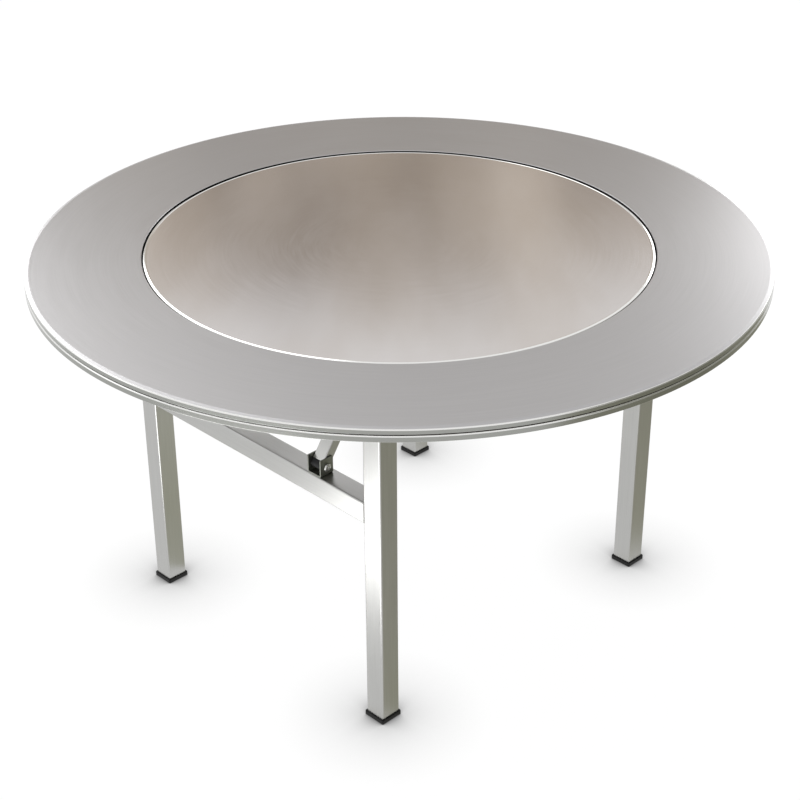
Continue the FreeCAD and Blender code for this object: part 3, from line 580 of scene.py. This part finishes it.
def zinc_plated(colours):
    """Zinc-plated pressed steel: dark grey with crystals a few millimetres across."""
    material, tree = material_tree("zinc_plated_bracket_steel")
    place = add(tree, "ShaderNodeTexCoord").outputs["Object"]
    crystals = add(tree, "ShaderNodeTexVoronoi", {"Vector": place, "Scale": 1 / (4 * MM)}).outputs["Color"]
    grit = speckle(tree, 1.5 * MM)
    return finished(
        material, tree,
        Base_Color=add(tree, "ShaderNodeMix", {0: crystals, 6: colours.bracket_low[:], 7: colours.bracket[:]},
                       data_type="RGBA").outputs[2],
        Metallic=1.0,
        Roughness=add(tree, "ShaderNodeMapRange",
                      {"Value": crystals, "To Min": 0.34, "To Max": 0.5}).outputs[0],
        Normal=add(tree, "ShaderNodeBump", {"Height": grit, "Strength": 0.15} | FINE).outputs[0],
    )


def bright_plated(colours):
    """Bright nickel-plated steel: a near mirror with faint turning marks."""
    material, tree = material_tree("bright_plated_fastener_steel")
    marks = speckle(tree, 1.2 * MM)
    gloss = add(tree, "ShaderNodeMapRange",
                {"Value": marks, "To Min": 0.14, "To Max": 0.24} | NOISE).outputs[0]
    return finished(
        material, tree, Base_Color=colours.fastener[:], Metallic=1.0, Roughness=gloss,
        Normal=add(tree, "ShaderNodeBump", {"Height": marks, "Strength": 0.05} | FINE).outputs[0],
    )


def weld_metal(colours):
    """Brushed weld metal: duller and rougher than the tubes."""
    material, tree = material_tree("brushed_weld_metal")
    grit = speckle(tree, 1.5 * MM)
    dull = add(tree, "ShaderNodeMapRange",
               {"Value": grit, "To Min": 0.4, "To Max": 0.55} | NOISE).outputs[0]
    # Its colour, lighter than the tubes, is a painted highlight.
    return finished(
        material, tree, Base_Color=colours.weld[:], Metallic=1.0, Roughness=dull,
        Normal=add(tree, "ShaderNodeBump", {"Height": grit, "Strength": 0.2} | FINE).outputs[0],
    )


def moulded_plastic(colours):
    """Black polyethylene moulded in a spark-eroded tool: matt, finely pebbled, with a grey bloom."""
    material, tree = material_tree("moulded_black_polyethylene")
    bloom = add(tree, "ShaderNodeMapRange", {"Value": speckle(tree, 14 * MM)} | NOISE).outputs[0]
    pebble = speckle(tree, 0.9 * MM)
    matt = add(tree, "ShaderNodeMapRange",
               {"Value": pebble, "To Min": 0.5, "To Max": 0.62} | NOISE).outputs[0]
    return finished(
        material, tree,
        Base_Color=add(tree, "ShaderNodeMix", {0: bloom, 6: colours.plastic[:], 7: colours.plastic_worn[:]},
                       data_type="RGBA").outputs[2],
        Roughness=matt,
        IOR=1.5,
        Specular_IOR_Level=0.25,
        Normal=add(tree, "ShaderNodeBump", {"Height": pebble, "Strength": 0.25} | FINE).outputs[0],
    )


def natural_nylon(colours):
    """Natural nylon: a milky plastic with a soft gloss."""
    material, tree = material_tree("natural_nylon")
    flow = speckle(tree, 6 * MM)
    gloss = add(tree, "ShaderNodeMapRange",
                {"Value": flow, "To Min": 0.32, "To Max": 0.42} | NOISE).outputs[0]
    return finished(
        material, tree, Base_Color=colours.nylon[:], Roughness=gloss, IOR=1.53,
        Normal=add(tree, "ShaderNodeBump", {"Height": flow, "Strength": 0.05} | FINE).outputs[0],
    )


def particle_board(colours):
    """Particle board: pressed wood chips of about 3 mm."""
    material, tree = material_tree("particle_board")
    place = add(tree, "ShaderNodeTexCoord").outputs["Object"]
    chips = add(tree, "ShaderNodeTexVoronoi", {"Vector": place, "Scale": 1 / (3 * MM)}).outputs["Color"]
    grit = {"Height": speckle(tree, 1.5 * MM), "Strength": 0.3, "Distance": 0.2 * MM}
    return finished(
        material, tree,
        Base_Color=add(tree, "ShaderNodeMix", {0: chips, 6: colours.board_chip[:], 7: colours.board[:]},
                       data_type="RGBA").outputs[2],
        Roughness=0.75,
        Normal=add(tree, "ShaderNodeBump", grit).outputs[0],
    )


def mill_aluminium(colours):
    """Mill-finish aluminium turned to a ring: pale metal with fine turning lines, drawn 1 mm apart."""
    material, tree = material_tree("mill_finish_aluminium")
    grain = circle_grain(tree, spacing=1 * MM, rounds=2)[0]
    satin = add(tree, "ShaderNodeMapRange",
                {"Value": grain, "To Min": 0.28, "To Max": 0.4} | NOISE).outputs[0]
    return finished(
        material, tree, Base_Color=colours.aluminium[:], Metallic=1.0, Roughness=satin,
        Normal=add(tree, "ShaderNodeBump", {"Height": grain, "Strength": 0.1} | FINE).outputs[0],
    )


def dress(material, *nodes):
    """Give CAD nodes a finish."""
    for node in nodes:
        for slot in NODES[node].material_slots:
            slot.material = material


# Pieces

class TABLE_OT_top(bpy.types.Operator):
    """Turn the skins of the ring, the pan and the turntable"""

    bl_idname = "table.top"
    bl_label = "Top Skins"

    def execute(self, context):
        sizes = context.scene.table_sizes
        colours = context.scene.table_colours
        well, rim = reach("top_ring_skin")
        floor, top = heights("top_ring_skin")
        pan_bottom, pan_lip = heights("bottom_pan")
        table_bottom, table_top = heights("turntable_skin")
        edge = well - sizes.edge_gap
        crest = edge - sizes.bevel_width
        flat_edge = crest - sizes.crest_run
        crest_top = table_top + sizes.crest_rise
        brushed = brushed_stainless(colours, well, rim - sizes.rim_corner, rim)
        polished = polished_stainless(colours, flat_edge)
        ring = bent_sheet([
            (well, floor, 0),
            (well, top, sizes.well_roll),
            (rim - sizes.slope_width, top, sizes.slope_blend),
            (rim, top - sizes.slope_drop, sizes.rim_corner),
            (rim, top - sizes.bead, sizes.bead_corner),
            (rim - sizes.lip, top - sizes.bead, 0),
        ], sizes.sheet)
        pan = bent_sheet([
            (rim - sizes.lip, pan_lip, 0),
            (rim, pan_lip, sizes.lower_shoulder),
            (rim, pan_bottom, sizes.bead_corner),
            (0, pan_bottom, 0),
        ], sizes.sheet)
        table = bent_sheet([
            (0, table_top, 0),
            (flat_edge, table_top, sizes.crest_foot),
            (crest, crest_top, sizes.bevel_blend),
            (edge, crest_top - sizes.bevel_drop, sizes.turntable_roll),
            (edge, table_bottom, sizes.bead_corner),
            (edge - sizes.turntable_lip, table_bottom, 0),
        ], sizes.sheet)
        make_piece("ring_skin", [(turned(ring, sizes.turns), True, True)], brushed,
                   "tabletop", ["top_ring_skin"])
        make_piece("underside_pan", [(turned(pan, sizes.turns), True, True)], brushed,
                   "tabletop", ["bottom_pan"])
        make_piece("turntable_sheet", [(turned(table, sizes.turns), True, True)], polished,
                   "turntable", ["turntable_skin"])
        return {"FINISHED"}


class TABLE_OT_tubes(bpy.types.Operator):
    """Finish the tubes and lay the weld beads between them"""

    bl_idname = "table.tubes"
    bl_label = "Tubes And Welds"

    def execute(self, context):
        sizes = context.scene.table_sizes
        colours = context.scene.table_colours
        quarter = math.pi / 2
        dress(satin_tube(colours, "along", (0, 0, 0)), "front_rail", "rear_rail",
              "right_front_hinge_riser", "right_rear_hinge_riser")
        dress(satin_tube(colours, "across", (0, 0, quarter)), "left_cross_rail", "right_cross_rail",
              "left_crossbar", "right_crossbar")
        upright = satin_tube(colours, "upright", (0, -quarter, 0))
        metal = weld_metal(colours)
        for side in SIDES:
            pin = Vector(JOINTS[f"{side}_lower_brace_pivot"]["pos_m"])
            pivot = Vector(JOINTS[f"{side}_upper_brace_pivot"]["pos_m"])
            slope = -math.atan2(pivot.z - pin.z, pivot.x - pin.x)
            sloping = satin_tube(colours, f"{side}_brace", (0, slope, 0))
            for end in ENDS:
                dress(upright, f"{side}_{end}_leg")
                dress(sloping, f"{side}_{end}_brace_tube")
            self.weld_crossbar(side, sizes, metal)
        return {"FINISHED"}

    def weld_crossbar(self, side, sizes, metal):
        """Beads round both ends of a crossbar and along the open edges of its two brackets."""
        low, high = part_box(f"{side}_crossbar")
        corner = 3 * MM
        outline = [(low.x, low.z, corner), (high.x, low.z, corner),
                   (high.x, high.z, corner), (low.x, high.z, corner)]
        beads = []
        for level in (low.y, high.y):
            beads.append((bead_round(outline, sizes.weld_ripple, sizes.weld, level), True, True))
        for end in ENDS:
            foot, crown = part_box(f"{side}_{end}_brace_bracket")
            inset = sizes.bracket_bend
            for x in (foot.x, crown.x):
                start = (x, foot.y + inset, foot.z)
                finish = (x, crown.y - inset, foot.z)
                beads.append((bead_straight(start, finish, sizes.weld_ripple, sizes.weld / 2), False, True))
        make_piece(f"{side}_crossbar_welds", beads, metal, BODY_OF[f"{side}_crossbar"])


class TABLE_OT_brackets(bpy.types.Operator):
    """Finish the pressed brackets and the upper links of the braces"""

    bl_idname = "table.brackets"
    bl_label = "Brackets"

    def execute(self, context):
        zinc = zinc_plated(context.scene.table_colours)
        for side in SIDES:
            dress(zinc, f"{side}_brace_anchors", f"{side}_knee_yokes")
            for end in ENDS:
                dress(zinc, f"{side}_{end}_hinge_bracket", f"{side}_{end}_brace_bracket")
        return {"FINISHED"}


class TABLE_OT_fasteners(bpy.types.Operator):
    """Make the hinge and brace bolts and finish the smaller fasteners"""

    bl_idname = "table.fasteners"
    bl_label = "Fasteners"

    def execute(self, context):
        sizes = context.scene.table_sizes
        bright = bright_plated(context.scene.table_colours)
        dress(bright, "hinge_bracket_screws", "bearing_base_screws", "bearing_top_screws")
        for side in SIDES:
            dress(bright, f"{side}_hinge_bushes", f"{side}_knee_rivets", f"{side}_brace_rod")
            for kind, joint in (("hinge", "fold"), ("brace", "lower_brace_pivot")):
                self.bolts(side, kind, JOINTS[f"{side}_{joint}"]["pos_m"], sizes, bright)
        return {"FINISHED"}

    def bolts(self, side, kind, centre, sizes, bright):
        """Bolt and nut through both brackets of a kind on a side, heads outward."""
        names = ("head", "head_height", "shank", "socket", "nut", "nut_height")
        values = [getattr(sizes, f"{kind}_{name}") for name in names]
        head, head_height, shank, socket, nut, nut_height = values
        node = f"{side}_{kind}_bolts"
        grids = []
        for end, outward in zip(ENDS, (-1, 1)):
            low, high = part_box(f"{side}_{end}_{kind}_bracket")
            grip = high.y - low.y + 2 * sizes.head_gap
            middle = (low.y + high.y) / 2
            seat = (centre[0], middle + outward * grip / 2, centre[2])
            far = (centre[0], middle - outward * (grip / 2 + nut_height), centre[2])
            bolt = button_bolt(head, head_height, shank, grip + nut_height, socket)
            grids.append((along_y(bolt, seat, outward), True, False))
            grids.append((along_y(hex_nut(nut, nut_height, shank), far, outward), True, False))
        make_piece(f"{node}_dressed", grids, bright, BODY_OF[node], [node], crease=28)


class TABLE_OT_plastics(bpy.types.Operator):
    """Finish the feet and plugs"""

    bl_idname = "table.plastics"
    bl_label = "Feet And Plugs"

    def execute(self, context):
        black = moulded_plastic(context.scene.table_colours)
        for side in SIDES:
            dress(black, f"{side}_leg_plugs", f"{side}_brace_plugs")
            for end in ENDS:
                dress(black, f"{side}_{end}_foot")
        return {"FINISHED"}


class TABLE_OT_bearing(bpy.types.Operator):
    """Finish the boards and the ball bearing inside the top"""

    bl_idname = "table.bearing"
    bl_label = "Boards And Bearing"

    def execute(self, context):
        colours = context.scene.table_colours
        dress(particle_board(colours), "ring_core_board", "turntable_core")
        dress(mill_aluminium(colours), "bearing_base_ring", "bearing_top_ring")
        dress(natural_nylon(colours), "ball_cage")
        dress(bpy.data.materials["bright_plated_fastener_steel"], "bearing_balls")
        return {"FINISHED"}


# Studio: places in metres as the camera sees them, to its right, ahead past the table's middle, and up

ON_FLOOR = 0.004
SQUARE = ((-1, -1), (1, -1), (1, 1), (-1, 1))

# Name: place, half sizes, the two axes it lies along, plateau, size of its patches, low and high colours
CARDS = {
    "card_behind": ((-0.1, 3.0, 1.72), (2.1, 2.1, 0.85), (0, 2), 0.55, (0.35, 0.35, 0.9),
                    ("card_low", "card")),
    "flag_right": ((2.1, -0.35, 0.002), (1.76, 1.5, 1.0), (0, 1), 0.85, None, ("flag", "flag_edge")),
    "flag_front": ((0.75, -0.48, 0.003), (0.85, 0.18, 1.0), (0, 1), 0.85, None, ("flag", "flag_edge")),
    "flag_far": ((1.2, 0.6, 0.003), (1.3, 0.4, 1.0), (0, 1), 0.85, None, ("flag", "flag_edge")),
    "flag_leg": ((-0.42, -0.06, 0.16), (1.0, 0.16, 0.26), (1, 2), 0.85, None, ("leg", "leg_edge")),
    "flag_side": ((2.6, -0.4, 1.9), (1.0, 2.4, 2.1), (1, 2), 0.85, None, ("side", "side_edge")),
}

# Name: place, width and height
LAMPS = {
    "floor_left": ((-0.7, -0.9, ON_FLOOR), 0.85, 0.85),
    "floor_back": ((-0.1, 1.6, ON_FLOOR), 1.4, 1.4),
    "side_left": ((-2.8, -0.3, 1.7), 1.2, 1.2),
    "high_left": ((-1.3, 2.6, 4.3), 1.3, 1.6),
    "back_left": ((-2.1, 2.6, 2.35), 1.05, 2.3),
    "back_right": ((1.85, 2.6, 1.6), 1.2, 1.3),
}


def ground(azimuth, right, ahead, height):
    """Place given as seen from the camera: to its right, ahead of it past the table's middle, and up."""
    return Vector((right * math.cos(azimuth) - ahead * math.sin(azimuth),
                   right * math.sin(azimuth) + ahead * math.cos(azimuth), height))


def softbox(name, place, aim, width, tall, watts):
    """Large rectangular lamp that faces a point and is itself out of every picture."""
    data = bpy.data.lights.new(name, "AREA")
    data.shape = "RECTANGLE"
    data.size = width
    data.size_y = tall
    data.energy = watts
    lamp = bpy.data.objects.new(name, data)
    lamp.location = place
    lamp.rotation_euler = (aim - place).to_track_quat("-Z", "Y").to_euler()
    lamp.visible_camera = False
    bpy.context.scene.collection.objects.link(lamp)


def shown_white(tree):
    """1 for the rays that see the background: the camera's, and those from metal and glass."""
    rays = add(tree, "ShaderNodeLightPath").outputs
    seen = rays["Is Camera Ray"]
    for kind in ("Is Glossy Ray", "Is Transmission Ray"):
        seen = add(tree, "ShaderNodeMath", {0: seen, 1: rays[kind]}, operation="MAXIMUM").outputs[0]
    return seen


def studio_floor(contact, glow, shade):
    """White floor: lit evenly where the camera or metal sees it, with a soft shadow close round whatever
    stands on it and a share of the lamps' own light and shadow."""
    material, tree = material_tree("white_studio_floor")
    near = add(tree, "ShaderNodeAmbientOcclusion", {"Distance": contact}, samples=32).outputs["AO"]
    ends = {"Value": near, "From Min": 0.5, "To Min": 0.2 * glow, "To Max": glow}
    shadow = add(tree, "ShaderNodeMapRange", ends).outputs[0]
    direct = add(tree, "ShaderNodeLightPath").outputs["Is Camera Ray"]
    grey = add(tree, "ShaderNodeMix", {0: direct, 2: glow, 3: shadow}).outputs[0]
    even = add(tree, "ShaderNodeEmission", {"Color": linear("#FFFFFF"), "Strength": grey}).outputs[0]
    paint = add(tree, "ShaderNodeBsdfDiffuse", {"Color": linear("#F4F4F4")}).outputs[0]
    part = add(tree, "ShaderNodeBsdfDiffuse", {"Color": (shade, shade, shade, 1)}).outputs[0]
    shown = add(tree, "ShaderNodeAddShader", {0: even, 1: part}).outputs[0]
    mixed = add(tree, "ShaderNodeMixShader", {0: shown_white(tree), 1: paint, 2: shown})
    add(tree, "ShaderNodeOutputMaterial", {"Surface": mixed.outputs[0]})
    return material


def soft_card(name, centre, heading, half, plateau, low, high, patch=None):
    """Card that fades out past a plateau, by the distance from its middle measured in half widths. Its
    glow goes between two colours in soft patches of a size, or else from the middle to the edge."""
    material, tree = material_tree(name)
    place = add(tree, "ShaderNodeTexCoord").outputs["Object"]
    frame_of = {"Vector": place, "Location": centre, "Rotation": (0, 0, heading)}
    inside = add(tree, "ShaderNodeMapping", frame_of | {"Scale": half}, vector_type="TEXTURE").outputs[0]
    far = add(tree, "ShaderNodeVectorMath", {0: inside}, operation="LENGTH").outputs["Value"]
    ends = {"Value": far, "From Min": plateau, "From Max": 1.0, "To Min": 1.0, "To Max": 0.0}
    fade = add(tree, "ShaderNodeMapRange", ends, interpolation_type="SMOOTHSTEP").outputs[0]
    mix = far
    if patch:
        drawn = frame_of | {"Scale": patch}
        patches = add(tree, "ShaderNodeMapping", drawn, vector_type="TEXTURE").outputs[0]
        noise = add(tree, "ShaderNodeTexNoise", {"Vector": patches, "Scale": 1.0, "Detail": 1.0})
        mix = add(tree, "ShaderNodeMapRange", {"Value": noise.outputs["Fac"]} | NOISE).outputs[0]
    tone = add(tree, "ShaderNodeMix", {0: mix, 6: low, 7: high}, data_type="RGBA").outputs[2]
    glow = add(tree, "ShaderNodeEmission", {"Color": tone, "Strength": 1.0}).outputs[0]
    clear = add(tree, "ShaderNodeBsdfTransparent").outputs[0]
    mixed = add(tree, "ShaderNodeMixShader", {0: fade, 1: clear, 2: glow})
    add(tree, "ShaderNodeOutputMaterial", {"Surface": mixed.outputs[0]})
    return material


class TABLE_OT_stage(bpy.types.Operator):
    """Set up the floor, the lamps, the white surroundings and the camera"""

    bl_idname = "table.stage"
    bl_label = "Studio"

    def execute(self, context):
        scene = context.scene
        studio = scene.table_studio
        scene.view_settings.view_transform = "Standard"
        self.floor(scene, studio)
        self.cards(scene, studio)
        self.world(scene)
        self.lamps(studio)
        self.camera(scene, studio)
        return {"FINISHED"}

    def floor(self, scene, studio):
        """Flat floor under the table."""
        half = studio.floor / 2
        mesh = bpy.data.meshes.new("studio_floor")
        corners = [(half * across, half * along, 0) for across, along in SQUARE]
        mesh.from_pydata(corners, [], [(0, 1, 2, 3)])
        mesh.materials.append(studio_floor(studio.contact, studio.floor_glow, studio.floor_shade))
        floor = bpy.data.objects.new("studio_floor", mesh)
        scene.collection.objects.link(floor)

    def cards(self, scene, studio):
        """Every card of CARDS, in the colours that it names."""
        heading = studio.azimuth
        axes = [ground(heading, 1, 0, 0), ground(heading, 0, 1, 0), Vector((0, 0, 1))]
        for name, (place, half, plane, plateau, patch, tones) in CARDS.items():
            centre = ground(heading, *place)
            low, high = (getattr(studio, tone)[:] for tone in tones)
            material = soft_card(name, centre, heading, half, plateau, low, high, patch)
            across, along = (axes[axis] * half[axis] for axis in plane)
            self.card(scene, name, centre, across, along, material)

    def card(self, scene, name, centre, across, along, material):
        """Rectangle that only reflections show."""
        mesh = bpy.data.meshes.new(name)
        corners = [centre + across * a + along * b for a, b in SQUARE]
        mesh.from_pydata(corners, [], [(0, 1, 2, 3)])
        mesh.materials.append(material)
        card = bpy.data.objects.new(name, mesh)
        card.visible_camera = False
        card.visible_diffuse = False
        card.visible_shadow = False
        card.visible_transmission = False
        scene.collection.objects.link(card)

    def world(self, scene):
        """White surroundings, dimmer for the light that they cast."""
        world = bpy.data.worlds.new("white_studio")
        world.use_nodes = True
        tree = world.node_tree
        tree.nodes.clear()
        strength = add(tree, "ShaderNodeMix", {0: shown_white(tree), 2: 0.6, 3: 1.0}).outputs[0]
        light = add(tree, "ShaderNodeBackground", {"Color": linear("#FFFFFF"), "Strength": strength})
        add(tree, "ShaderNodeOutputWorld", {"Surface": light.outputs[0]})
        scene.world = world

    def lamps(self, studio):
        """Every lamp of LAMPS: those on the floor face up, and the others face the middle of the top."""
        top = Vector((0, 0, CAD_BOX[1].z))
        for name, (place, width, tall) in LAMPS.items():
            spot = ground(studio.azimuth, *place)
            aim = spot + Vector((0, 0, 1)) if place[2] <= ON_FLOOR else top
            softbox(name, spot, aim, width, tall, getattr(studio, name))

    def camera(self, scene, studio):
        """Camera at its heading and height, turned about its line of sight by its roll."""
        data = bpy.data.cameras.new("studio_camera")
        data.lens = studio.lens
        camera = bpy.data.objects.new("studio_camera", data)
        tilt = Matrix.Rotation(math.pi / 2 - studio.elevation, 4, "X")
        turn = Matrix.Rotation(studio.azimuth, 4, "Z") @ tilt @ Matrix.Rotation(studio.roll, 4, "Z")
        back = turn.to_3x3() @ Vector((0, 0, 1))
        place = Vector((0, 0, studio.aim_height)) + back * studio.distance
        camera.matrix_world = Matrix.Translation(place) @ turn
        scene.collection.objects.link(camera)
        scene.camera = camera


class TABLE_PT_looks(bpy.types.Panel):
    """Sizes, colours and steps of the table"""

    bl_idname = "TABLE_PT_looks"
    bl_label = "Steel Table"
    bl_space_type = "VIEW_3D"
    bl_region_type = "UI"
    bl_category = "Table"

    def draw(self, context):
        for step in STEPS:
            self.layout.operator(step.bl_idname)
        for group in GROUPS:
            box = self.layout.box()
            settings = getattr(context.scene, group)
            for name in settings.bl_rna.properties.keys()[2:]:
                box.prop(settings, name)


STEPS = (TABLE_OT_top, TABLE_OT_tubes, TABLE_OT_brackets, TABLE_OT_fasteners, TABLE_OT_plastics,
         TABLE_OT_bearing, TABLE_OT_stage)
GROUPS = {"table_sizes": TableSizes, "table_colours": TableColours, "table_studio": TableStudio}


def register():
    for made in (*GROUPS.values(), *STEPS, TABLE_PT_looks):
        bpy.utils.register_class(made)
    for name, group in GROUPS.items():
        setattr(bpy.types.Scene, name, PointerProperty(type=group))


def unregister():
    for name in GROUPS:
        delattr(bpy.types.Scene, name)
    for made in (TABLE_PT_looks, *STEPS, *GROUPS.values()):
        bpy.utils.unregister_class(made)


def main():
    register()
    for step in STEPS:
        getattr(bpy.ops.table, step.bl_idname.split(".")[1])()


if __name__ == "__main__":
    main()
